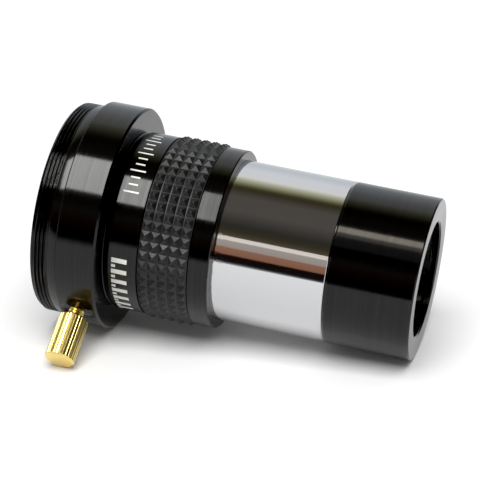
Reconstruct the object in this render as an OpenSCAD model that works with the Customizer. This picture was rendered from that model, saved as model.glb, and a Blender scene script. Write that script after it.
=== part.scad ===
// Two-times barlow lens, 1.25 inch, with an outer T-thread for a camera.
// The optical axis is X, and +X points out of the nose. The origin is the centre of the
// shoulder that seats against the focuser, where the nose barrel starts. +Z is up: the
// lens lies on its side, with the clamp screw pointing down and to the front.

/* [Nose barrel] */
// Outside diameter of the nose barrel, a 1.25 inch push fit
barrel_d = 31.7; // [31.6:0.01:31.74]
// Length of the nose barrel from the shoulder to its tip
barrel_l = 38.9; // [38:0.1:42]
// Length of the chromed tube between the shoulder and the lens cell
tube_l = 22.1; // [20:0.1:22.4]
// Bore of the chromed tube
tube_bore_d = 27.2; // [26.4:0.1:27.6]
// Diameter of the thread that joins the lens cell to the tube
cell_thread_d = 28.5; // [28.4:0.05:28.6]
// Pitch of the lens cell's thread
cell_pitch = 0.6; // [0.5:0.05:0.75]
// Length of the lens cell's thread
cell_thread_l = 4.9; // [4:0.1:5]

/* [Body] */
// Diameter of the body rings
body_d = 35.4; // [35.2:0.1:36]
// Length of the body tube
body_l = 20.8; // [20.4:0.1:21.2]
// Width of the plain ring between the shoulder and the grip
lower_ring_l = 3.95; // [3:0.05:4.5]
// Length of the recess that holds the grip
recess_l = 10.2; // [9.8:0.1:10.4]
// Diameter of the floor of the grip's recess
recess_d = 33.5; // [33.3:0.1:33.7]

/* [Grip] */
// Diameter over the grip's ridges
grip_d = 36.3; // [35.9:0.1:37]
// Number of ridges along the grip
grip_ridges = 5; // [3:1:7]
// Height of the ridges
ridge_h = 0.55; // [0.3:0.05:0.6]

/* [Eyepiece holder] */
// Bore that takes the eyepiece
socket_d = 31.8; // [31.76:0.01:31.85]
// Diameter of the flange that carries the clamp screw
flange_d = 44.3; // [43.5:0.1:46]
// Width of the flange
flange_w = 7.95; // [7.2:0.05:8.5]
// Diameter of the T-thread
t_thread_d = 42; // [41.9:0.05:42]
// Pitch of the T-thread
t_pitch = 0.75; // [0.7:0.05:0.8]
// Length of the T-thread's sleeve
t_sleeve_l = 5.4; // [4.6:0.05:6]
// Number of thread grooves, counted from the open end
t_grooves = 4; // [2:1:4]

/* [Clamp] */
// Inside diameter of the split clamp ring
ring_bore_d = 32.0; // [31.9:0.05:32.1]
// Outside diameter of the split clamp ring
ring_d = 33.6; // [33.4:0.1:33.8]
// Width of the clamp ring
ring_w = 4.2; // [3.6:0.1:4.4]
// Width of the cut through the clamp ring
ring_split = 2.0; // [1:0.1:3]
// Thread diameter of the clamp screw
screw_d = 3.0; // [2.8:0.1:3.2]
// Diameter of the clamp screw's head
head_d = 5.9; // [5:0.1:6.2]
// Length of the clamp screw's head
head_l = 9.3; // [7:0.1:10]
// Distance from the flange to the head at rest
head_gap = 1.6; // [0.8:0.1:2.5]
// Number of flutes around the head
head_flutes = 28; // [14:1:32]
// Angle of the clamp screw from straight down, towards the front
screw_angle = 52.2; // [0:0.1:90]

/* [Optics] */
// Diameter of the two lens elements
lens_d = 24.6; // [24.4:0.1:24.6]
// Radius of the hollow front face of the front element
front_curve = 48; // [44:1:60]
// Radius of the cemented face between the elements
cemented_curve = 24; // [23:1:28]
// Radius of the hollow back face of the rear element
back_curve = 66; // [60:1:90]
// Thickness of the front element on the axis
front_centre = 1.2; // [1:0.1:1.4]
// Thickness of the rear element on the axis
rear_centre = 3.6; // [3.4:0.1:3.8]
// Clear opening in the nose
opening_d = 22.5; // [21:0.1:23]
// Depth of the lip in front of the glass
lip_l = 1.3; // [1:0.1:1.6]

/* [Hidden] */

// Colours
anodised = [0.05, 0.05, 0.055];
chromed = [0.86, 0.87, 0.89];
gold = [0.86, 0.66, 0.22];
charcoal = [0.13, 0.13, 0.13];
clear = [0.75, 0.88, 0.84, 0.5];

// Facets of a full turn
round_fn = 96;
small_fn = 48;
flute_fn = 16;
lens_steps = 12;

// Clearances
thread_gap = 0.05;
seat_gap = 0.02;
glue_gap = 0.02;
lens_gap = 0.05;
cut = 1;

// Radii of the mating diameters
barrel_r = barrel_d / 2;
body_r = body_d / 2;
flange_r = flange_d / 2;
socket_r = socket_d / 2;
tube_bore_r = tube_bore_d / 2;
t_r = t_thread_d / 2;
cell_thread_r = cell_thread_d / 2;
lens_r = lens_d / 2;
opening_r = opening_d / 2;
recess_r = recess_d / 2;
ring_r = ring_d / 2;
screw_r = screw_d / 2;
head_r = head_d / 2;

// Places along the axis, from the eyepiece end to the nose
body_top_x = -body_l;
hub_l = 0.3;
flange_front_x = body_top_x - hub_l;
flange_back_x = flange_front_x - flange_w;
holder_end_x = flange_back_x - t_sleeve_l;
ring_offset = 0.225;
ring_x = (flange_front_x + flange_back_x) / 2 - ring_offset;
recess_front_x = -lower_ring_l;
recess_back_x = recess_front_x - recess_l;
nose_x = barrel_l;
lens_front_x = nose_x - lip_l;

// Holder details
hub_r = 17.3;
hub_bevel = 0.25;
edge = 0.4;
small_edge = 0.25;
t_end_chamfer = 0.4;
entry = 0.5;
t_groove_inset = 0.05;
t_groove_depth = 0.42;
groove_share = 0.8;
groove_slope = 0.4;
spigot_r = 16.8;
spigot_l = 6;
spigot_pitch = 0.75;
spigot_grooves = 6;
spigot_groove_inset = 0.6;
spigot_groove_depth = 0.4;
ring_groove_r = 17.6;
ring_side_gap = 0.3;
ring_groove_w = ring_w + 2 * ring_side_gap;
ring_split_angle = 90;

// Body details
top_cone_l = 1.0;
shoulder_edge = 0.4;
shoulder_recess_l = 0.3;
spigot_end_gap = 0.1;
barrel_spigot_r = 14.95;
barrel_spigot_l = 5.9;
barrel_socket_l = 6.0;
stop_lip_l = 0.8;

// Grip details
grip_gap = 0.2;
grip_fit = 0.03;
grip_l = recess_l - 2 * grip_gap;
grip_back_x = recess_back_x + grip_gap;
grip_base_r = grip_d / 2 - ridge_h;
ridge_pitch = grip_l / grip_ridges;
ridge_flat = 0.3;

// Tube details
relief_r = 15.4;
cell_end_gap = 0.2;
baffle_pitch = 1.25;
baffle_depth = 0.35;
baffle_count = 16;
baffle_start_x = -4.5;

// Lens cell details
cell_bore_r = 13.0;
cell_bore_l = 6.8;
seat_r = lens_r + lens_gap;
keeper_thread_r = 12.8;
cell_thread_grooves = 6;
cell_groove_inset = 0.5;
cell_groove_depth = 0.32;
opening_chamfer = 0.3;

// Retaining ring
keeper_r = keeper_thread_r - thread_gap;
keeper_bore_r = 11.4;
keeper_w = 2.05;
keeper_slot_w = 1.2;
keeper_slot_depth = 0.9;
keeper_gap = 0.09;

// Clamp screw: distances from the optical axis
screw_tip = ring_r + seat_gap;
head_start = flange_r + head_gap;
head_end = head_start + head_l;
screw_hole_r = screw_r + thread_gap;
head_chamfer = 0.3;
flute_r = 0.2;
flute_offset = 0.06;
screw_pitch = 0.5;
screw_groove_depth = 0.27;
screw_grooves = floor((head_start - screw_tip) / screw_pitch) - 1;

// Sag of a spherical face of the given curve, at radius r from the axis
function sag(curve, r = lens_r) = curve - sqrt(curve * curve - r * r);

// Outline of a spherical lens face from the axis to the rim. The rim leans towards +X when
// bend is 1 and towards -X when it is -1.
function lens_face(vertex_x, curve, bend) =
    [for (i = [0:lens_steps])
        let (r = lens_r * i / lens_steps) [r, vertex_x + bend * sag(curve, r)]];

front_vertex_x = lens_front_x - seat_gap - sag(front_curve);
cemented_x = front_vertex_x - front_centre;
rear_vertex_x = cemented_x - rear_centre;
lens_back_x = rear_vertex_x - sag(back_curve);
keeper_front_x = lens_back_x - keeper_gap;

// A run of V-shaped grooves as outline points, from x towards +X, cut into radius r.
// A negative depth cuts grooves into a bore.
function groove_run(x, count, pitch, r, depth) =
    [for (i = [0:count - 1])
        let (start = x + i * pitch, w = pitch * groove_share)
        each [[r, start], [r - depth, start + w * groove_slope],
              [r - depth, start + w * (1 - groove_slope)], [r, start + w]]];

// The same outline run backwards
function backwards(points) = [for (i = [len(points) - 1:-1:0]) points[i]];

// A turned piece: each point of the profile is [radius, place along X]
module turned(profile) {
    rotate([0, 90, 0]) rotate_extrude($fn = round_fn) polygon(profile);
}

// Places its children on the clamp screw's axis, with +Z pointing away from the optical axis
module on_screw_axis() {
    translate([ring_x, 0, 0]) rotate([180 - screw_angle, 0, 0]) children();
}

// A solid cylinder along X
module rod(r, x0, x1) {
    translate([x0, 0, 0]) rotate([0, 90, 0]) cylinder(r = r, h = x1 - x0, $fn = round_fn);
}

// Top of the barlow: T-thread outside, eyepiece socket inside, flange for the clamp screw
module eyepiece_holder() {
    spigot_end_x = body_top_x + spigot_l;
    outside = concat(
        [[socket_r + entry, holder_end_x],
         [t_r - t_end_chamfer, holder_end_x],
         [t_r, holder_end_x + t_end_chamfer]],
        groove_run(holder_end_x + t_end_chamfer + t_groove_inset, t_grooves, t_pitch, t_r,
                   t_groove_depth),
        [[t_r, flange_back_x],
         [flange_r - small_edge, flange_back_x],
         [flange_r, flange_back_x + small_edge],
         [flange_r, flange_front_x - edge],
         [flange_r - edge, flange_front_x],
         [hub_r, flange_front_x],
         [hub_r, body_top_x - hub_bevel],
         [hub_r - hub_bevel, body_top_x],
         [spigot_r, body_top_x]],
        groove_run(body_top_x + spigot_groove_inset, spigot_grooves, spigot_pitch, spigot_r,
                   spigot_groove_depth),
        [[spigot_r, spigot_end_x]]);
    inside = [[socket_r, spigot_end_x],
              [socket_r, ring_x + ring_groove_w / 2],
              [ring_groove_r, ring_x + ring_groove_w / 2],
              [ring_groove_r, ring_x - ring_groove_w / 2],
              [socket_r, ring_x - ring_groove_w / 2],
              [socket_r, holder_end_x + entry]];
    color(anodised) difference() {
        turned(concat(outside, inside));
        on_screw_axis() translate([0, 0, socket_r])
            cylinder(r = screw_hole_r, h = flange_r - socket_r + cut, $fn = small_fn);
    }
}

// Split brass ring in the holder's inner groove, pressed onto the eyepiece by the screw
module clamp_ring() {
    color(gold) difference() {
        rod(ring_r, ring_x - ring_w / 2, ring_x + ring_w / 2);
        rod(ring_bore_d / 2, ring_x - ring_w, ring_x + ring_w);
        translate([ring_x, 0, 0]) rotate([180 - screw_angle + ring_split_angle, 0, 0])
            translate([-ring_w, -ring_split / 2, 0]) cube([2 * ring_w, ring_split, ring_d]);
    }
}

// Brass clamp screw with a straight-fluted head
module thumbscrew() {
    head = [[0, head_start], [head_r - head_chamfer, head_start],
            [head_r, head_start + head_chamfer], [head_r, head_end - head_chamfer],
            [head_r - head_chamfer, head_end], [0, head_end]];
    shank = concat(
        [[0, screw_tip], [screw_r - small_edge, screw_tip], [screw_r, screw_tip + small_edge]],
        groove_run(head_start - screw_grooves * screw_pitch, screw_grooves, screw_pitch,
                   screw_r, screw_groove_depth),
        [[screw_r, head_start + cut], [0, head_start + cut]]);
    color(gold) on_screw_axis() {
        rotate_extrude($fn = small_fn) polygon(shank);
        difference() {
            rotate_extrude($fn = small_fn) polygon(head);
            for (i = [0:head_flutes - 1])
                rotate([0, 0, i * 360 / head_flutes])
                    translate([head_r + flute_offset, 0, head_start - cut])
                        cylinder(r = flute_r, h = head_l + 2 * cut, $fn = flute_fn);
        }
    }
}

// Main tube: takes the holder at the top and the chromed tube at the shoulder
module body_tube() {
    holder_stop_x = body_top_x + spigot_l + spigot_end_gap;
    color(anodised) turned([
        [spigot_r + thread_gap, body_top_x],
        [hub_r, body_top_x],
        [body_r, body_top_x + top_cone_l],
        [body_r, recess_back_x],
        [recess_r, recess_back_x],
        [recess_r, recess_front_x],
        [body_r, recess_front_x],
        [body_r, -shoulder_edge],
        [body_r - shoulder_edge, 0],
        [barrel_r + thread_gap, 0],
        [barrel_r + thread_gap, -shoulder_recess_l],
        [barrel_spigot_r + thread_gap, -shoulder_recess_l],
        [barrel_spigot_r + thread_gap, -barrel_socket_l],
        [tube_bore_r, -barrel_socket_l],
        [tube_bore_r, -barrel_socket_l - stop_lip_l],
        [socket_r, -barrel_socket_l - stop_lip_l],
        [socket_r, holder_stop_x],
        [spigot_r + thread_gap, holder_stop_x]]);
}

// Rubber grip sleeve, stretched into the body's recess
module grip_sleeve() {
    ridges = [for (i = [0:grip_ridges - 1])
        let (start = grip_back_x + i * ridge_pitch)
        each [[grip_base_r, start], [grip_base_r, start + ridge_flat / 2],
              [grip_base_r + ridge_h, start + ridge_pitch / 2 - ridge_flat / 2],
              [grip_base_r + ridge_h, start + ridge_pitch / 2 + ridge_flat / 2],
              [grip_base_r, start + ridge_pitch - ridge_flat / 2]]];
    color(charcoal) turned(concat(
        ridges,
        [[grip_base_r, grip_back_x + grip_l],
         [recess_r + grip_fit, grip_back_x + grip_l],
         [recess_r + grip_fit, grip_back_x]]));
}

// Chromed tube of the nose barrel, with anti-glare grooves in its bore
module barrel_tube() {
    socket_x = tube_l - cell_thread_l - cell_end_gap;
    baffles = groove_run(baffle_start_x, baffle_count, baffle_pitch, tube_bore_r, -baffle_depth);
    color(chromed) turned(concat(
        [[tube_bore_r, -barrel_spigot_l],
         [barrel_spigot_r, -barrel_spigot_l],
         [barrel_spigot_r, -shoulder_recess_l],
         [relief_r, -shoulder_recess_l],
         [relief_r, 0],
         [barrel_r, 0],
         [barrel_r, tube_l - small_edge],
         [barrel_r - small_edge, tube_l],
         [cell_thread_r + thread_gap, tube_l],
         [cell_thread_r + thread_gap, socket_x],
         [tube_bore_r, socket_x]],
        backwards(baffles)));
}

// Black lens cell that screws into the chromed tube and holds the glass
module lens_cell() {
    shoulder_x = tube_l + seat_gap;
    spigot_x = tube_l - cell_thread_l;
    color(anodised) turned(concat(
        [[cell_bore_r, spigot_x],
         [cell_thread_r - small_edge, spigot_x],
         [cell_thread_r, spigot_x + small_edge]],
        groove_run(spigot_x + cell_groove_inset, cell_thread_grooves, cell_pitch, cell_thread_r,
                   cell_groove_depth),
        [[cell_thread_r, shoulder_x],
         [barrel_r - small_edge, shoulder_x],
         [barrel_r, shoulder_x + small_edge],
         [barrel_r, nose_x - small_edge],
         [barrel_r - small_edge, nose_x],
         [opening_r + opening_chamfer, nose_x],
         [opening_r, nose_x - opening_chamfer],
         [opening_r, lens_front_x],
         [seat_r, lens_front_x],
         [seat_r, lens_back_x],
         [keeper_thread_r, lens_back_x],
         [keeper_thread_r, spigot_x + cell_bore_l],
         [cell_bore_r, spigot_x + cell_bore_l]]));
}

// Front element of the cemented pair, hollow on both faces
module front_lens_element() {
    color(clear) turned(concat(lens_face(front_vertex_x, front_curve, 1),
                               backwards(lens_face(cemented_x, cemented_curve, -1))));
}

// Rear element of the cemented pair, a meniscus
module rear_lens_element() {
    color(clear) turned(concat(lens_face(cemented_x - glue_gap, cemented_curve, -1),
                               backwards(lens_face(rear_vertex_x, back_curve, -1))));
}

// Threaded ring behind the glass, with two slots for a spanner
module retaining_ring() {
    color(anodised) difference() {
        rod(keeper_r, keeper_front_x - keeper_w, keeper_front_x);
        rod(keeper_bore_r, keeper_front_x - keeper_w - cut, keeper_front_x + cut);
        translate([keeper_front_x - keeper_w - cut, -keeper_thread_r - cut, -keeper_slot_w / 2])
            cube([cut + keeper_slot_depth, 2 * (keeper_thread_r + cut), keeper_slot_w]);
    }
}

eyepiece_holder();
clamp_ring();
thumbscrew();
body_tube();
grip_sleeve();
barrel_tube();
lens_cell();
front_lens_element();
rear_lens_element();
retaining_ring();
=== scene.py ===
"""The looks of the barlow lens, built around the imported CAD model.

Sizes are in millimetres until a mesh is written, and then in metres. The optical axis is X,
and +X points out of the nose. Angles about X are in degrees from -Y (the front) towards +Z.
"""

import math

import bpy
from mathutils import Matrix, Vector

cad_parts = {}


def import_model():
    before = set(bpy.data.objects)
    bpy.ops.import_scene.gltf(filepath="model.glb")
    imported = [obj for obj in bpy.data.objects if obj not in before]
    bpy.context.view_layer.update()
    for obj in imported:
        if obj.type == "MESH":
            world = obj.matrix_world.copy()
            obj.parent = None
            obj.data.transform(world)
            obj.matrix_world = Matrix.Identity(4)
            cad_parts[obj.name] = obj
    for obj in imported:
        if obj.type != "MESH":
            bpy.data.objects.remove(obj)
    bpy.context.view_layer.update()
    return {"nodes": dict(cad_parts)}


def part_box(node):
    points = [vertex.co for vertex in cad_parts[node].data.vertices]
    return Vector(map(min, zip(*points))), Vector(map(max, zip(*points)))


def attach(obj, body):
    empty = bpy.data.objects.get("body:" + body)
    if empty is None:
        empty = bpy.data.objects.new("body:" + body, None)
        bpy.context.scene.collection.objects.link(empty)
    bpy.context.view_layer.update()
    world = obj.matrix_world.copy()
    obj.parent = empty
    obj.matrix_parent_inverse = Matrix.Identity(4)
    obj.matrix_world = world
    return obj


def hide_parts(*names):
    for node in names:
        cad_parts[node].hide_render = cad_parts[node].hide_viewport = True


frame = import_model()

MM = 0.001
SEGMENTS = 288
CORNER_STEPS = 3
ROWS_PER_PITCH = 14


# ---------------------------------------------------------------------------------------
# Driving dimensions, read from the frame where it holds them
# ---------------------------------------------------------------------------------------

def low_high(node):
    """The lowest and highest corners of a CAD node, in millimetres."""
    low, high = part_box(node)
    return low / MM, high / MM


holder_low, holder_high = low_high("eyepiece_holder")
body_low, body_high = low_high("body_tube")
tube_low, tube_high = low_high("barrel_tube")
cell_low, cell_high = low_high("lens_cell")
grip_low, grip_high = low_high("grip_sleeve")
ring_low, ring_high = low_high("clamp_ring")
front_high = low_high("front_lens_element")[1]
rear_low = low_high("rear_lens_element")[0]

BARREL_R = tube_high.z
BODY_R = body_high.z
FLANGE_R = holder_high.z
NOSE_X = cell_high.x
SEAM_X = tube_high.x
BODY_TOP_X = body_low.x
HOLDER_END_X = holder_low.x
SPIGOT_END_X = holder_high.x
GRIP_R = grip_high.z
LENS_R = front_high.z

HUB_L = 0.3
HUB_BEVEL = 0.25
FLANGE_W = 7.95
FLANGE_EDGE = 0.4
FLANGE_FRONT_X = BODY_TOP_X - HUB_L
FLANGE_BACK_X = FLANGE_FRONT_X - FLANGE_W
SOCKET_R = 15.9
SPIGOT_R = 16.8
SPIGOT_BORE_R = 16.85
TUBE_R = 14.95
TUBE_BORE_R = 15.0
BORE_R = 13.6
T_THREAD_R = 21.0
T_PITCH = 0.75
HUB_R = 17.3
RECESS_R = 16.75
RECESS_FRONT_X = -3.95
RECESS_BACK_X = -14.15
TUBE_STOP_X = -6.0
STOP_BACK_X = -6.8
RELIEF_L = 0.3
RELIEF_R = 15.4
BARREL_EDGE = 0.25
CELL_PITCH = 0.6
CELL_THREAD_R = 14.25
OPENING_R = 11.25
LIP_L = 1.3
RING_X = (ring_low.x + ring_high.x) / 2
RING_GROOVE_R = 17.6
RING_GROOVE_W = 4.8
SCREW_ANGLE = 52.2
SCREW_R = 1.5
SCREW_HOLE_R = 1.55
SCREW_PITCH = 0.5
SCREW_TIP = 16.82
HEAD_START = 23.75
HEAD_END = 33.05
HEAD_R = 2.95
FLUTES = 28


# ---------------------------------------------------------------------------------------
# Node helpers for the materials
# ---------------------------------------------------------------------------------------

def new_material(name, color, roughness, metallic=0.0, ior=1.5):
    """A material with its constant values on the shader's own sockets."""
    mat = bpy.data.materials.new(name)
    mat.use_nodes = True
    shader = mat.node_tree.nodes["Principled BSDF"]
    shader.inputs["Base Color"].default_value = (*color, 1)
    shader.inputs["Roughness"].default_value = roughness
    shader.inputs["Metallic"].default_value = metallic
    shader.inputs["IOR"].default_value = ior
    return mat, mat.node_tree.nodes, mat.node_tree.links, shader


def math_node(nodes, links, operation, a, b=None):
    """A Math node on sockets or numbers. Returns its output."""
    node = nodes.new("ShaderNodeMath")
    node.operation = operation
    for socket, value in zip(node.inputs, (a, b)):
        if value is None:
            continue
        if isinstance(value, (int, float)):
            socket.default_value = value
        else:
            links.new(value, socket)
    return node.outputs[0]


def noise_node(nodes, links, vector, scale, detail=3.0, rough=0.5):
    """A Noise texture on a vector socket. Returns its value."""
    node = nodes.new("ShaderNodeTexNoise")
    node.inputs["Scale"].default_value = scale
    node.inputs["Detail"].default_value = detail
    node.inputs["Roughness"].default_value = rough
    links.new(vector, node.inputs["Vector"])
    return node.outputs[0]


def range_node(nodes, links, value, low, high, from_low=0.3, from_high=0.7):
    """Maps a noise value onto a range. Returns its output."""
    node = nodes.new("ShaderNodeMapRange")
    node.inputs["From Min"].default_value = from_low
    node.inputs["From Max"].default_value = from_high
    node.inputs["To Min"].default_value = low
    node.inputs["To Max"].default_value = high
    links.new(value, node.inputs["Value"])
    return node.outputs["Result"]


def color_mix(nodes, links, factor, first, second):
    """Mixes two colours by a factor socket. Returns the colour."""
    node = nodes.new("ShaderNodeMix")
    node.data_type = "RGBA"
    node.inputs["A"].default_value = (*first, 1)
    node.inputs["B"].default_value = (*second, 1)
    links.new(factor, node.inputs["Factor"])
    return node.outputs["Result"]


def bump_node(nodes, links, height, strength, distance):
    """A Bump node on a height socket. Returns its normal."""
    node = nodes.new("ShaderNodeBump")
    node.inputs["Strength"].default_value = strength
    node.inputs["Distance"].default_value = distance
    links.new(height, node.inputs["Height"])
    return node.outputs["Normal"]


def turned_vector(nodes, links):
    """A vector of (place along X, distance from X, 0): lathe lines are constant along it."""
    place = nodes.new("ShaderNodeTexCoord").outputs["Object"]
    split = nodes.new("ShaderNodeSeparateXYZ")
    links.new(place, split.inputs[0])
    y2 = math_node(nodes, links, "MULTIPLY", split.outputs["Y"], split.outputs["Y"])
    z2 = math_node(nodes, links, "MULTIPLY", split.outputs["Z"], split.outputs["Z"])
    radius = math_node(nodes, links, "SQRT", math_node(nodes, links, "ADD", y2, z2))
    join = nodes.new("ShaderNodeCombineXYZ")
    links.new(split.outputs["X"], join.inputs["X"])
    links.new(radius, join.inputs["Y"])
    return place, join.outputs[0]


def lathe_tangent(nodes, links, shader, amount):
    """Stretches the gloss across the lathe lines."""
    tangent = nodes.new("ShaderNodeTangent")
    tangent.direction_type = "RADIAL"
    tangent.axis = "X"
    links.new(tangent.outputs[0], shader.inputs["Tangent"])
    shader.inputs["Anisotropic"].default_value = amount
    shader.inputs["Anisotropic Rotation"].default_value = 0.25


# ---------------------------------------------------------------------------------------
# Materials
# ---------------------------------------------------------------------------------------

def anodised_material():
    """Glossy black anodising over a finely turned surface."""
    black = (0.0004, 0.0004, 0.0005)
    mat, nodes, links, shader = new_material("black_anodised", black, 0.13, ior=1.39)
    place, turned = turned_vector(nodes, links)
    fine = noise_node(nodes, links, turned, 9000.0, 2.0)
    wide = noise_node(nodes, links, turned, 1400.0, 3.0)
    smudge = noise_node(nodes, links, place, 120.0, 4.0)
    lines = math_node(nodes, links, "ADD", fine, math_node(nodes, links, "MULTIPLY", wide, 0.8))
    links.new(bump_node(nodes, links, lines, 0.2, 4e-6), shader.inputs["Normal"])
    streaks = noise_node(nodes, links, turned, 3800.0, 2.0)
    links.new(range_node(nodes, links, streaks, 0.43, 0.57), shader.inputs["Specular IOR Level"])
    gloss = math_node(nodes, links, "ADD", range_node(nodes, links, wide, 0.12, 0.17),
                      range_node(nodes, links, smudge, 0.0, 0.02))
    links.new(gloss, shader.inputs["Roughness"])
    tone = color_mix(nodes, links, smudge, (0.0003, 0.0003, 0.0004), (0.0007, 0.0006, 0.0006))
    links.new(tone, shader.inputs["Base Color"])
    lathe_tangent(nodes, links, shader, 0.85)
    return mat


def chrome_material():
    """Polished chrome plate with faint polishing marks, and light scuffs by the shoulder."""
    mat, nodes, links, shader = new_material("chrome", (0.585, 0.59, 0.6), 0.05, metallic=1.0)
    place, turned = turned_vector(nodes, links)
    lines = noise_node(nodes, links, turned, 5000.0, 2.0)
    haze = noise_node(nodes, links, place, 160.0, 5.0)
    split = nodes.new("ShaderNodeSeparateXYZ")
    links.new(place, split.inputs[0])
    near = range_node(nodes, links, split.outputs["X"], 1.0, 0.0, 0.0, 0.0055)
    near = math_node(nodes, links, "MULTIPLY", near, near)
    scuff = noise_node(nodes, links, place, 2600.0, 3.0)
    scuff = math_node(nodes, links, "MULTIPLY", scuff, near)
    brushed = bump_node(nodes, links, lines, 0.05, 1.5e-6)
    scuffed = bump_node(nodes, links, scuff, 1.0, 1.4e-5)
    links.new(brushed, scuffed.node.inputs["Normal"])
    links.new(scuffed, shader.inputs["Normal"])
    links.new(range_node(nodes, links, haze, 0.04, 0.07), shader.inputs["Roughness"])
    links.new(color_mix(nodes, links, haze, (0.575, 0.58, 0.592), (0.6, 0.603, 0.61)),
              shader.inputs["Base Color"])
    lathe_tangent(nodes, links, shader, 0.3)
    return mat


def brass_material():
    """Bright machined brass."""
    mat, nodes, links, shader = new_material("brass", (0.9, 0.7, 0.25), 0.3, metallic=1.0)
    place = nodes.new("ShaderNodeTexCoord").outputs["Object"]
    grain = noise_node(nodes, links, place, 1200.0, 2.0)
    tarnish = noise_node(nodes, links, place, 420.0, 5.0)
    links.new(bump_node(nodes, links, grain, 0.05, 3e-6), shader.inputs["Normal"])
    links.new(range_node(nodes, links, grain, 0.28, 0.34), shader.inputs["Roughness"])
    links.new(color_mix(nodes, links, tarnish, (0.86, 0.66, 0.22), (0.93, 0.74, 0.29)),
              shader.inputs["Base Color"])
    return mat


def rubber_material():
    """Matt moulded rubber with a fine grain."""
    mat, nodes, links, shader = new_material("grip_rubber", (0.006, 0.006, 0.007), 0.45, ior=1.45)
    place = nodes.new("ShaderNodeTexCoord").outputs["Object"]
    grain = noise_node(nodes, links, place, 7000.0, 3.0)
    bloom = noise_node(nodes, links, place, 500.0, 4.0)
    links.new(bump_node(nodes, links, grain, 0.35, 2e-5), shader.inputs["Normal"])
    links.new(range_node(nodes, links, bloom, 0.38, 0.52), shader.inputs["Roughness"])
    links.new(color_mix(nodes, links, bloom, (0.004, 0.004, 0.0048), (0.009, 0.009, 0.0098)),
              shader.inputs["Base Color"])
    return mat


def glass_material():
    """Polished optical glass with a bloomed face, so it reflects little."""
    mat, nodes, links, shader = new_material("optical_glass", (0.93, 0.98, 0.96), 0.0, ior=1.2)
    shader.inputs["Transmission Weight"].default_value = 1.0
    place = nodes.new("ShaderNodeTexCoord").outputs["Object"]
    dust = noise_node(nodes, links, place, 900.0, 6.0)
    links.new(range_node(nodes, links, dust, 0.0, 0.015, 0.62, 0.8), shader.inputs["Roughness"])
    return mat


def ink_material():
    """Pale printed ink."""
    mat, nodes, links, shader = new_material("print_ink", (0.75, 0.75, 0.71), 0.45)
    place = nodes.new("ShaderNodeTexCoord").outputs["Object"]
    speckle = noise_node(nodes, links, place, 2500.0, 4.0)
    links.new(color_mix(nodes, links, speckle, (0.62, 0.62, 0.58), (0.84, 0.84, 0.8)),
              shader.inputs["Base Color"])
    links.new(range_node(nodes, links, speckle, 0.38, 0.55), shader.inputs["Roughness"])
    return mat


ANODISED = anodised_material()
CHROME = chrome_material()
BRASS = brass_material()
RUBBER = rubber_material()
GLASS = glass_material()
INK = ink_material()


# ---------------------------------------------------------------------------------------
# Mesh helpers
# ---------------------------------------------------------------------------------------

def make_object(name, verts, faces, material, smooth_angle=35.0):
    """A mesh object from vertices in millimetres, smooth except at sharp edges."""
    mesh = bpy.data.meshes.new(name)
    mesh.from_pydata([Vector(v) * MM for v in verts], [], faces)
    mesh.validate()
    mesh.materials.append(material)
    obj = bpy.data.objects.new(name, mesh)
    bpy.context.scene.collection.objects.link(obj)
    mesh.shade_smooth()
    mesh.set_sharp_from_angle(angle=math.radians(smooth_angle))
    return obj


def rounded(outline):
    """Rounds the corners of a closed outline of (x, r, fillet) points. Returns (x, r) points,
    with a support point beside each rounded corner so that the flats stay flat in shading."""
    points = []
    for i, (x, r, fillet) in enumerate(outline):
        here = Vector((x, r))
        if not fillet:
            points.append((x, r))
            continue
        before = Vector(outline[i - 1][:2]) - here
        after = Vector(outline[(i + 1) % len(outline)][:2]) - here
        turn = before.angle(after)
        reach = min(fillet / math.tan(turn / 2), 0.4 * before.length, 0.4 * after.length)
        before.normalize()
        after.normalize()
        size = reach * math.tan(turn / 2)
        centre = here + (before + after).normalized() * math.hypot(size, reach)
        start = here + before * reach - centre
        sweep = start.angle_signed(here + after * reach - centre)
        points.append(tuple(here + before * reach * 1.3))
        for step in range(CORNER_STEPS + 1):
            angle = -sweep * step / CORNER_STEPS
            points.append(tuple(centre + Matrix.Rotation(angle, 2) @ start))
        points.append(tuple(here + after * reach * 1.3))
    return points


class Thread:
    """A right-hand V thread on the surface between two places along X."""

    def __init__(self, start, end, pitch, depth, fade_end=0.8):
        self.start, self.end, self.pitch, self.depth = start, end, pitch, depth
        self.fade_end = fade_end

    def cut(self, x, turn):
        """Depth of the groove at a place along X and a share of a turn."""
        if not self.start <= x <= self.end:
            return 0.0
        phase = ((x - self.start) / self.pitch - turn) % 1.0
        groove = max(0.0, 1.0 - abs(phase - 0.5) / 0.44)
        groove = min(groove * 1.15, 1.0)
        fade = min(1.0, (self.end - x) / (self.fade_end * self.pitch))
        return self.depth * groove * fade

    def rows(self, radius):
        """Outline points fine enough to carry the thread."""
        count = round((self.end - self.start) / self.pitch * ROWS_PER_PITCH)
        return [(self.start + (self.end - self.start) * i / count, radius, 0.0)
                for i in range(count + 1)]


def turned_piece(name, outline, material, threads=()):
    """A closed outline of (x, r, fillet) points turned about X, with threads cut into it."""
    points = rounded(outline)
    verts, faces = [], []
    for j in range(SEGMENTS):
        turn = j / SEGMENTS
        c, s = math.cos(2 * math.pi * turn), math.sin(2 * math.pi * turn)
        for x, r in points:
            for thread in threads:
                r -= thread.cut(x, turn)
            verts.append((x, -r * c, r * s))
    n = len(points)
    for j in range(SEGMENTS):
        k = (j + 1) % SEGMENTS
        for i in range(n):
            m = (i + 1) % n
            faces.append((j * n + i, j * n + m, k * n + m, k * n + i))
    return make_object(name, verts, faces, material)


def finish_piece(obj, body, slot, *nodes):
    """Rides on a body and stands for CAD nodes, which it hides. The slot argument is not used."""
    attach(obj, body)
    if nodes:
        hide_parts(*nodes)
    return obj


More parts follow.
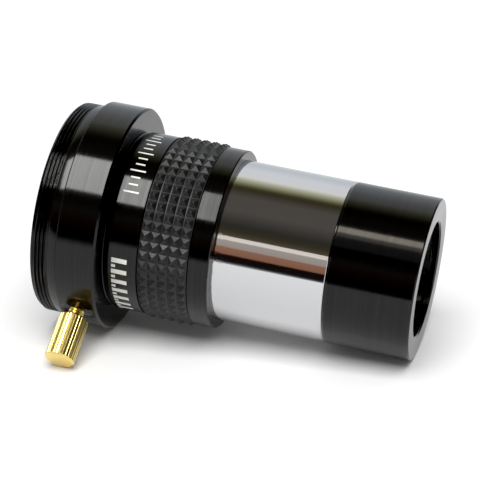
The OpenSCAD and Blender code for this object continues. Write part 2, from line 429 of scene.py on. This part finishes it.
def on_screw_axis(x, y, z):
    """A point given in the screw's own axes (z away from the optical axis), in the row frame."""
    a = math.radians(180 - SCREW_ANGLE)
    return (RING_X + x, y * math.cos(a) - z * math.sin(a), y * math.sin(a) + z * math.cos(a))


# ---------------------------------------------------------------------------------------
# The top of the barlow and the main tube
# ---------------------------------------------------------------------------------------

def eyepiece_holder():
    """T-thread, flange and eyepiece socket in one turned piece, drilled for the screw."""
    t = Thread(HOLDER_END_X + 0.1, HOLDER_END_X + 3.6, T_PITCH, 0.42)
    half = RING_GROOVE_W / 2
    outline = [
        (HOLDER_END_X, SOCKET_R + 0.5, 0.05),
        (HOLDER_END_X, T_THREAD_R - 0.4, 0.03),
        (HOLDER_END_X + 0.4, T_THREAD_R, 0.0),
        *[p for p in t.rows(T_THREAD_R) if p[0] > HOLDER_END_X + 0.42],
        (FLANGE_BACK_X - 0.12, T_THREAD_R, 0.03),
        (FLANGE_BACK_X, T_THREAD_R - 0.12, 0.0),
        (FLANGE_BACK_X, FLANGE_R - 0.25, 0.05),
        (FLANGE_BACK_X + 0.25, FLANGE_R, 0.05),
        (FLANGE_FRONT_X - FLANGE_EDGE, FLANGE_R, 0.06),
        (FLANGE_FRONT_X, FLANGE_R - FLANGE_EDGE, 0.06),
        (FLANGE_FRONT_X, HUB_R, 0.02),
        (BODY_TOP_X - HUB_BEVEL, HUB_R, 0.02),
        (BODY_TOP_X, HUB_R - HUB_BEVEL, 0.0),
        (BODY_TOP_X, SPIGOT_R, 0.0),
        (SPIGOT_END_X, SPIGOT_R, 0.1),
        (SPIGOT_END_X, SOCKET_R, 0.1),
        (RING_X + half, SOCKET_R, 0.08),
        (RING_X + half, RING_GROOVE_R, 0.08),
        (RING_X - half, RING_GROOVE_R, 0.08),
        (RING_X - half, SOCKET_R, 0.08),
        (HOLDER_END_X + 0.5, SOCKET_R, 0.05),
    ]
    obj = turned_piece("eyepiece_holder_turned", outline, ANODISED, [t])
    drill_screw_hole(obj)
    return finish_piece(obj, "body", "black_anodised", "eyepiece_holder")


def drill_screw_hole(obj):
    """Cuts the clamp screw's hole through the flange."""
    verts, faces = [], []
    count = 48
    for z in (SOCKET_R - 1, FLANGE_R + 2):
        for i in range(count):
            a = 2 * math.pi * i / count
            verts.append(on_screw_axis(SCREW_HOLE_R * math.cos(a), SCREW_HOLE_R * math.sin(a), z))
    for i in range(count):
        k = (i + 1) % count
        faces.append((i, k, count + k, count + i))
    faces.append(tuple(range(count))[::-1])
    faces.append(tuple(range(count, 2 * count)))
    drill = make_object("drill", verts, faces, ANODISED)
    cut = obj.modifiers.new("screw_hole", "BOOLEAN")
    cut.object = drill
    cut.operation = "DIFFERENCE"
    cut.solver = "EXACT"
    bpy.context.view_layer.update()
    graph = bpy.context.evaluated_depsgraph_get()
    mesh = bpy.data.meshes.new_from_object(obj.evaluated_get(graph))
    obj.modifiers.clear()
    obj.data = mesh
    bpy.data.objects.remove(drill)


def body_tube():
    """Main tube with the printed ring, the grip's recess and the lower ring."""
    outline = [
        (BODY_TOP_X, SPIGOT_BORE_R, 0.0),
        (BODY_TOP_X, HUB_R, 0.05),
        (BODY_TOP_X + 1.0, BODY_R, 0.15),
        (RECESS_BACK_X, BODY_R, 0.07),
        (RECESS_BACK_X, RECESS_R, 0.0),
        (RECESS_FRONT_X, RECESS_R, 0.0),
        (RECESS_FRONT_X, BODY_R, 0.07),
        (-0.2, BODY_R, 0.04),
        (0.0, BODY_R - 0.2, 0.04),
        (0.0, BARREL_R + 0.05, 0.02),
        (-RELIEF_L, BARREL_R + 0.05, 0.0),
        (-RELIEF_L, TUBE_BORE_R, 0.0),
        (TUBE_STOP_X, TUBE_BORE_R, 0.0),
        (TUBE_STOP_X, BORE_R, 0.05),
        (STOP_BACK_X, BORE_R, 0.05),
        (STOP_BACK_X, SOCKET_R, 0.0),
        (SPIGOT_END_X + 0.1, SOCKET_R, 0.05),
        (SPIGOT_END_X + 0.1, SPIGOT_BORE_R, 0.0),
    ]
    obj = turned_piece("body_tube_turned", outline, ANODISED)
    return finish_piece(obj, "body", "black_anodised", "body_tube")


def grip_sleeve():
    """Rubber sleeve with rows of small blunt pyramids."""
    columns, rows = 5, 56
    height, column_flat, row_flat, top = 0.55, 0.2, 0.05, 0.2
    base_r = GRIP_R - height
    start, end = grip_low.x, grip_high.x
    pitch = (end - start) / columns
    inner = RECESS_R + 0.03
    verts, faces, index = [], [], {}

    def vertex(x, turn, r):
        key = (round(x, 4), round(turn % 1.0, 6), round(r, 4))
        if key not in index:
            index[key] = len(verts)
            a = 2 * math.pi * turn
            verts.append((x, -r * math.cos(a), r * math.sin(a)))
        return index[key]

    side = 2 * math.pi * base_r / rows
    xs = []
    for c in range(columns):
        xs += [start + c * pitch + column_flat / 2, start + (c + 1) * pitch - column_flat / 2]
    xs = [start] + xs + [end]
    turns = []
    for k in range(rows):
        turns += [(k + row_flat / 2 / side) / rows, (k + 1 - row_flat / 2 / side) / rows]
    for i in range(len(xs) - 1):
        for j in range(len(turns)):
            x0, x1 = xs[i], xs[i + 1]
            t0, t1 = turns[j], turns[(j + 1) % len(turns)] + (1.0 if j + 1 == len(turns) else 0.0)
            corners = [vertex(x0, t0, base_r), vertex(x1, t0, base_r),
                       vertex(x1, t1, base_r), vertex(x0, t1, base_r)]
            if i % 2 == 1 and j % 2 == 0:
                mx, mt = (x0 + x1) / 2, (t0 + t1) / 2
                dx, dt = top / 2, top / 2 / side / rows
                peak = [vertex(mx - dx, mt - dt, GRIP_R), vertex(mx + dx, mt - dt, GRIP_R),
                        vertex(mx + dx, mt + dt, GRIP_R), vertex(mx - dx, mt + dt, GRIP_R)]
                for a in range(4):
                    b = (a + 1) % 4
                    faces.append((corners[a], corners[b], peak[b], peak[a]))
                faces.append(tuple(peak))
            else:
                faces.append(tuple(corners))
    for j in range(len(turns)):
        t0, t1 = turns[j], turns[(j + 1) % len(turns)] + (1.0 if j + 1 == len(turns) else 0.0)
        faces.append((vertex(start, t0, inner), vertex(start, t0, base_r),
                      vertex(start, t1, base_r), vertex(start, t1, inner)))
        faces.append((vertex(end, t0, base_r), vertex(end, t0, inner),
                      vertex(end, t1, inner), vertex(end, t1, base_r)))
        faces.append((vertex(end, t0, inner), vertex(start, t0, inner),
                      vertex(start, t1, inner), vertex(end, t1, inner)))
    obj = make_object("grip_pyramids", verts, faces, RUBBER, smooth_angle=28.0)
    bevel = obj.modifiers.new("soft_edges", "BEVEL")
    bevel.width = 0.04 * MM
    bevel.segments = 2
    bevel.limit_method = "ANGLE"
    bevel.angle_limit = math.radians(20)
    return finish_piece(obj, "body", "grip_rubber", "grip_sleeve")


# ---------------------------------------------------------------------------------------
# The nose barrel
# ---------------------------------------------------------------------------------------

def barrel_tube():
    """Chromed tube with anti-glare grooves in its bore."""
    bore, pitch, depth = BORE_R, 0.75, 0.3
    thread_socket_end = 17.0
    groove_start, groove_end = -4.6, 15.9
    count = int((groove_end - groove_start) / pitch)
    grooves = []
    for i in range(count):
        x = groove_end - i * pitch
        grooves += [(x, bore, 0.0), (x - 0.3, bore + depth, 0.0), (x - 0.6, bore, 0.0)]
    outline = [
        (tube_low.x, bore, 0.05),
        (tube_low.x, TUBE_R, 0.05),
        (-RELIEF_L, TUBE_R, 0.0),
        (-RELIEF_L, RELIEF_R, 0.0),
        (0.0, RELIEF_R, 0.0),
        (0.0, BARREL_R, 0.02),
        (SEAM_X - BARREL_EDGE, BARREL_R, 0.05),
        (SEAM_X, BARREL_R - BARREL_EDGE, 0.05),
        (SEAM_X, CELL_THREAD_R + 0.05, 0.05),
        (thread_socket_end, CELL_THREAD_R + 0.05, 0.0),
        (thread_socket_end, bore, 0.05),
        *grooves,
    ]
    obj = turned_piece("barrel_tube_turned", outline, CHROME)
    return finish_piece(obj, "body", "chrome", "barrel_tube")


def lens_cell():
    """Black nose cell with its own thread and the lip in front of the glass."""
    shoulder = SEAM_X + 0.02
    spigot = cell_low.x
    ledge = spigot + 6.8
    ledge_r, spigot_bore_r = 12.8, 13.0
    lens_front, lens_back = NOSE_X - LIP_L, rear_low.x
    t = Thread(spigot - 0.1, spigot + 4.3, CELL_PITCH, 0.33)
    outline = [
        (spigot, spigot_bore_r, 0.05),
        (spigot, CELL_THREAD_R - 0.25, 0.03),
        (spigot + 0.25, CELL_THREAD_R, 0.0),
        *[p for p in t.rows(CELL_THREAD_R) if p[0] > spigot + 0.27],
        (shoulder, CELL_THREAD_R, 0.0),
        (shoulder, BARREL_R - BARREL_EDGE, 0.05),
        (shoulder + BARREL_EDGE, BARREL_R, 0.05),
        (NOSE_X - BARREL_EDGE, BARREL_R, 0.06),
        (NOSE_X, BARREL_R - BARREL_EDGE, 0.06),
        (NOSE_X, BORE_R, 0.0),
        (NOSE_X - 0.08, OPENING_R + 0.3, 0.04),
        (NOSE_X - 0.36, OPENING_R, 0.04),
        (lens_front, OPENING_R, 0.0),
        (lens_front, LENS_R + 0.05, 0.0),
        (lens_back, LENS_R + 0.05, 0.0),
        (lens_back, ledge_r, 0.0),
        (ledge, ledge_r, 0.05),
        (ledge, spigot_bore_r, 0.05),
    ]
    obj = turned_piece("lens_cell_turned", outline, ANODISED, [t])
    return finish_piece(obj, "lens_cell", "black_anodised", "lens_cell")


def lens_outline(front, back):
    """Outline of a lens from its two faces, each a function of the radius."""
    steps = 40
    radii = [LENS_R * i / steps for i in range(steps + 1)]
    return [(front(r), r) for r in radii] + [(back(r), r) for r in radii[::-1]]


def lens_piece(name, front, back, node):
    """A lens element, turned from its two faces."""
    points = lens_outline(front, back)
    segments = 192
    verts, faces = [(points[0][0], 0, 0), (points[-1][0], 0, 0)], []
    ring = points[1:-1]
    for j in range(segments):
        a = 2 * math.pi * j / segments
        verts += [(x, -r * math.cos(a), r * math.sin(a)) for x, r in ring]
    n = len(ring)
    for j in range(segments):
        k = (j + 1) % segments
        first, second = 2 + j * n, 2 + k * n
        faces.append((0, second, first))
        faces.append((1, first + n - 1, second + n - 1))
        faces += [(first + i, second + i, second + i + 1, first + i + 1) for i in range(n - 1)]
    obj = make_object(name, verts, faces, GLASS)
    return finish_piece(obj, "optics", "optical_glass", node)


def lenses():
    """The cemented pair: a hollow front element and a meniscus behind it."""
    front_curve, cemented_curve, back_curve = 48.0, 24.0, 66.0
    front_centre, rear_centre, cement = 1.2, 3.6, 0.02

    def sag(curve, r):
        return curve - math.sqrt(curve * curve - r * r)

    front_vertex = front_high.x - sag(front_curve, LENS_R)
    cemented = front_vertex - front_centre
    rear_vertex = cemented - rear_centre
    lens_piece("front_lens_polished",
               lambda r: front_vertex + sag(front_curve, r),
               lambda r: cemented - sag(cemented_curve, r), "front_lens_element")
    lens_piece("rear_lens_polished",
               lambda r: cemented - cement - sag(cemented_curve, r),
               lambda r: rear_vertex - sag(back_curve, r), "rear_lens_element")


# ---------------------------------------------------------------------------------------
# The clamp screw
# ---------------------------------------------------------------------------------------

def thumbscrew():
    """Brass screw: threaded shank and a straight-fluted head, one closed mesh."""
    per_flute = 10
    count = FLUTES * per_flute
    chamfer = 0.32
    tip_l, tip_r, rows_per_pitch = 0.3, 1.2, 12
    rows = [(SCREW_TIP, tip_r)]
    count_rows = round((HEAD_START - SCREW_TIP - tip_l) / SCREW_PITCH * rows_per_pitch)
    for i in range(count_rows + 1):
        shank = (HEAD_START - SCREW_TIP - tip_l) * i / count_rows
        rows.append((SCREW_TIP + tip_l + shank, SCREW_R))
    head_rows = [HEAD_START, HEAD_START + chamfer * 0.5, HEAD_START + chamfer,
                 HEAD_START + 1.2, (HEAD_START + HEAD_END) / 2, HEAD_END - 1.2,
                 HEAD_END - chamfer, HEAD_END - chamfer * 0.5, HEAD_END]
    thread = Thread(SCREW_TIP + tip_l, HEAD_START - 0.05, SCREW_PITCH, 0.28, fade_end=0.3)

    def flute_radius(turn):
        """Radius of the fluted outline: flat-topped ribs with narrow grooves."""
        phase = abs((turn * FLUTES) % 1.0 - 0.5) * 2
        groove = max(0.0, 1.0 - phase / 0.36)
        return HEAD_R - 0.11 * groove

    verts, faces = [], []
    for z, r in rows:
        for i in range(count):
            turn = i / count
            a = 2 * math.pi * turn
            radius = r - thread.cut(z, turn)
            verts.append(on_screw_axis(radius * math.cos(a), radius * math.sin(a), z))
    for z in head_rows:
        edge = min(z - HEAD_START, HEAD_END - z)
        limit = HEAD_R - max(0.0, chamfer - edge)
        for i in range(count):
            turn = i / count
            a = 2 * math.pi * turn
            radius = min(flute_radius(turn), limit)
            verts.append(on_screw_axis(radius * math.cos(a), radius * math.sin(a), z))
    total = len(rows) + len(head_rows)
    for k in range(total - 1):
        for i in range(count):
            j = (i + 1) % count
            faces.append((k * count + i, k * count + j, (k + 1) * count + j, (k + 1) * count + i))
    faces.append(tuple(range(count))[::-1])
    faces.append(tuple(range((total - 1) * count, total * count)))
    obj = make_object("thumbscrew_fluted", verts, faces, BRASS, smooth_angle=22.0)
    return finish_piece(obj, "thumbscrew", "brass", "thumbscrew")


# ---------------------------------------------------------------------------------------
# Printed marks: a plain scale of bars and ticks, with no lettering
# ---------------------------------------------------------------------------------------

def print_marks():
    """Thin bars on the printed ring."""
    lift, thick = 0.004, 0.012
    verts, faces = [], []

    def bar(x0, x1, t0, t1):
        steps = max(1, round(abs(t1 - t0) / 1.0))
        base = len(verts)
        for r in (BODY_R + lift, BODY_R + lift + thick):
            for i in range(steps + 1):
                a = math.radians(t0 + (t1 - t0) * i / steps)
                verts.append((x0, -r * math.cos(a), r * math.sin(a)))
                verts.append((x1, -r * math.cos(a), r * math.sin(a)))
        top = base + 2 * (steps + 1)
        for i in range(steps):
            a, b = base + 2 * i, top + 2 * i
            faces.append((b, b + 1, b + 3, b + 2))
            faces.append((a, a + 2, a + 3, a + 1))
            faces.append((a, b, b + 2, a + 2))
            faces.append((a + 1, a + 3, b + 3, b + 1))
        for a, b in ((base, top), (base + 2 * steps, top + 2 * steps)):
            faces.append((a, a + 1, b + 1, b))

    centre, tall = -17.55, 3.1
    for i in range(12):
        middle = 41.0 + i * 5.0
        half = tall / 2 if i % 3 == 0 else tall * 0.3
        bar(centre - half, centre + half, middle - 0.55, middle + 0.55)
    for i in range(7):
        middle = -3.5 - i * 8.0
        bar(centre - tall / 2, centre + tall / 2, middle - 1.6, middle + 1.6)
        bar(centre - tall / 2, centre - tall / 2 + 0.8, middle - 5.0, middle - 3.0)
    obj = make_object("print_marks", verts, faces, INK)
    return finish_piece(obj, "body", "black_anodised")


eyepiece_holder()
body_tube()
grip_sleeve()
barrel_tube()
lens_cell()
lenses()
thumbscrew()
print_marks()


def assign(node, material):
    """Gives a carried-over CAD node a material."""
    data = frame["nodes"][node].data
    data.materials.clear()
    data.materials.append(material)


assign("clamp_ring", BRASS)
assign("retaining_ring", ANODISED)


# ---------------------------------------------------------------------------------------
# Floor, camera and light
# ---------------------------------------------------------------------------------------

def floor():
    """A plain white sheet that the lens rests on, touching the flange and the nose."""
    nose = Vector((NOSE_X, 0, -BARREL_R)) * MM
    flange = Vector((FLANGE_FRONT_X, 0, -FLANGE_R)) * MM
    along = (nose - flange).normalized()
    across = Vector((0, 1, 0))
    front, back, side = 0.145, 0.145, 0.6
    corners = [(-side, -front), (side, -front), (side, back), (-side, back)]
    mesh = bpy.data.meshes.new("floor")
    mesh.from_pydata([flange + along * a + across * b for a, b in corners], [], [(0, 1, 2, 3)])
    mat, nodes, links, shader = new_material("floor_white", (0.93, 0.93, 0.93), 0.9)
    place = nodes.new("ShaderNodeTexCoord").outputs["Object"]
    tone = noise_node(nodes, links, place, 3.0, 2.0)
    links.new(color_mix(nodes, links, tone, (0.925, 0.925, 0.925), (0.935, 0.935, 0.935)),
              shader.inputs["Base Color"])
    shader.inputs["Specular IOR Level"].default_value = 0.0
    mesh.materials.append(mat)
    obj = bpy.data.objects.new("floor", mesh)
    bpy.context.scene.collection.objects.link(obj)


def camera():
    """The photograph's viewing angle."""
    azimuth, elevation, distance, roll = 13.69, 23.95, 0.3868, 5.96
    aim = Vector((1.2, 0.3, 0.1)) * MM
    a, e = math.radians(azimuth), math.radians(elevation)
    towards = Vector((math.sin(a) * math.cos(e), -math.cos(a) * math.cos(e), math.sin(e)))
    data = bpy.data.cameras.new("camera")
    data.lens, data.sensor_width = 148.2, 36.0
    obj = bpy.data.objects.new("camera", data)
    look = (-towards).to_track_quat("-Z", "Y").to_matrix().to_4x4()
    obj.matrix_world = (Matrix.Translation(aim + towards * distance) @ look
                        @ Matrix.Rotation(math.radians(roll), 4, "Z"))
    bpy.context.scene.collection.objects.link(obj)
    bpy.context.scene.camera = obj


# Studio round the object, as (angle about X, colour): floor edge, dark room, white backdrop
STUDIO = [
    (-179, (0.72, 0.76, 0.78)), (-140, (0.9, 0.9, 0.9)), (-12, (0.9, 0.9, 0.9)),
    (-8, (0.01, 0.01, 0.012)), (1, (0.012, 0.006, 0.004)),
    (6, (0.09, 0.045, 0.025)), (14, (0.13, 0.08, 0.06)), (24, (0.17, 0.155, 0.14)),
    (29, (0.1, 0.085, 0.06)), (36, (0.055, 0.045, 0.025)), (44, (0.04, 0.038, 0.03)),
    (66, (0.11, 0.1, 0.09)), (88, (0.11, 0.1, 0.085)), (102, (0.05, 0.042, 0.022)),
    (107, (0.08, 0.07, 0.032)), (112, (0.25, 0.24, 0.14)), (117, (0.48, 0.47, 0.31)),
    (122, (0.71, 0.71, 0.56)), (127, (1.0, 1.0, 0.93)), (133, (0.97, 0.98, 1.0)),
    (148, (0.93, 0.96, 1.0)), (165, (0.72, 0.78, 0.83)), (179, (0.72, 0.76, 0.78)),
]


def world():
    """Even white light for matt surfaces and the background, the studio for gloss, which is
    dimmed towards the light that lies above and beyond the nose."""
    scene_world = bpy.data.worlds.new("studio")
    bpy.context.scene.world = scene_world
    scene_world.use_nodes = True
    scene_world.cycles.sampling_method = "NONE"
    nodes, links = scene_world.node_tree.nodes, scene_world.node_tree.links
    nodes.clear()
    direction = nodes.new("ShaderNodeTexCoord").outputs["Generated"]
    split = nodes.new("ShaderNodeSeparateXYZ")
    links.new(direction, split.inputs[0])
    front = math_node(nodes, links, "MULTIPLY", split.outputs["Y"], -1.0)
    angle = math_node(nodes, links, "ARCTAN2", split.outputs["Z"], front)
    share = math_node(nodes, links, "MULTIPLY_ADD", angle, 0.5 / math.pi)
    share.node.inputs[2].default_value = 0.5
    ramp = nodes.new("ShaderNodeValToRGB")
    links.new(share, ramp.inputs[0])
    elements = ramp.color_ramp.elements
    while len(elements) > 1:
        elements.remove(elements[-1])
    elements[0].position = 0.0
    elements[0].color = (1, 1, 1, 1)
    for degrees, color in STUDIO:
        element = elements.new((degrees + 180) / 360)
        element.color = (*color, 1)
    gloss = nodes.new("ShaderNodeBackground")
    links.new(ramp.outputs[0], gloss.inputs["Color"])
    above = range_node(nodes, links, split.outputs["Z"], 0.0, 1.0, 0.0, 0.2)
    beyond = range_node(nodes, links, split.outputs["X"], 0.0, 0.97, 0.28, 0.45)
    shade = math_node(nodes, links, "MULTIPLY", above, beyond)
    links.new(math_node(nodes, links, "SUBTRACT", 1.0, shade), gloss.inputs["Strength"])
    even = nodes.new("ShaderNodeBackground")
    even.inputs["Color"].default_value = (1, 1, 1, 1)
    rays = nodes.new("ShaderNodeLightPath")
    strength = math_node(nodes, links, "MULTIPLY_ADD", rays.outputs["Is Camera Ray"], 0.8)
    strength.node.inputs[2].default_value = 0.44
    links.new(strength, even.inputs["Strength"])
    plain = math_node(nodes, links, "MAXIMUM", rays.outputs["Is Camera Ray"],
                      rays.outputs["Is Diffuse Ray"])
    mix = nodes.new("ShaderNodeMixShader")
    links.new(plain, mix.inputs[0])
    links.new(gloss.outputs[0], mix.inputs[1])
    links.new(even.outputs[0], mix.inputs[2])
    output = nodes.new("ShaderNodeOutputWorld")
    links.new(mix.outputs[0], output.inputs["Surface"])


def panel(name, low, high, x0, x1, distance, radiance, color, receivers, diffuse=False):
    """A soft light between two angles about X, reaching from x0 to x1 along X, in metres."""
    middle = math.radians((low + high) / 2)
    out = Vector((0, -math.cos(middle), math.sin(middle)))
    data = bpy.data.lights.new(name, "AREA")
    data.shape = "RECTANGLE"
    data.size = x1 - x0
    data.size_y = 2 * distance * math.tan(math.radians(high - low) / 2)
    data.color = color
    data.energy = radiance * math.pi * data.size * data.size_y
    obj = bpy.data.objects.new(name, data)
    bpy.context.scene.collection.objects.link(obj)
    side = Vector((1, 0, 0))
    up = out.cross(side)
    rows = Matrix((side, up, out)).transposed().to_4x4()
    obj.matrix_world = Matrix.Translation(out * distance + Vector(((x0 + x1) / 2, 0, 0))) @ rows
    obj.visible_camera = False
    obj.visible_diffuse = diffuse
    group = bpy.data.collections.new(name + "_lights")
    for receiver in receivers:
        group.objects.link(bpy.data.objects[receiver])
    obj.light_linking.receiver_collection = group


def lights():
    """Soft panels: a softbox in two parts for the black pieces and the screw, one panel for
    the floor, and strips for the nose and the chrome."""
    black = ["eyepiece_holder_turned", "body_tube_turned", "grip_pyramids", "print_marks",
             "thumbscrew_fluted"]
    panel("softbox", 41.7, 77.3, -0.34, -0.108, 0.4, 12.5, (1, 1, 0.98), black, diffuse=True)
    panel("softbox_end", 41.7, 77.3, -0.108, -0.085, 0.4, 8.0, (1, 1, 0.98), black, diffuse=True)
    panel("floor_light", 42, 79, -0.8, 0.9, 2.4, 6.9, (1, 1, 1), ["floor"], diffuse=True)
    panel("nose_strip", 64.5, 73, -0.9, 0.6, 0.4, 7.0, (1, 0.9, 0.77), ["lens_cell_turned"])
    panel("nose_fringe", 58.5, 64.5, -0.9, 0.6, 0.4, 1.3, (1, 0.92, 0.82), ["lens_cell_turned"])
    panel("nose_glow", 44, 58.5, -0.9, 0.6, 0.4, 0.18, (0.9, 0.95, 1), ["lens_cell_turned"])
    panel("chrome_low", 3, 13, -1.0, 0.9, 0.6, 0.27, (1, 0.47, 0.3), ["barrel_tube_turned"])
    panel("chrome_middle", 13, 22.5, -1.0, 0.9, 0.6, 0.36, (1, 0.92, 0.84), ["barrel_tube_turned"])
    panel("chrome_high", 22.5, 28.0, -1.0, 0.9, 0.6, 0.9, (1, 0.93, 0.84), ["barrel_tube_turned"])


def film():
    """Plain film with a slightly lifted black point, as product pictures have."""
    view = bpy.context.scene.view_settings
    view.view_transform = "Standard"
    view.use_curve_mapping = True
    view.curve_mapping.black_level = (0.0018, 0.0018, 0.0018)
    view.curve_mapping.update()


floor()
camera()
world()
lights()
film()
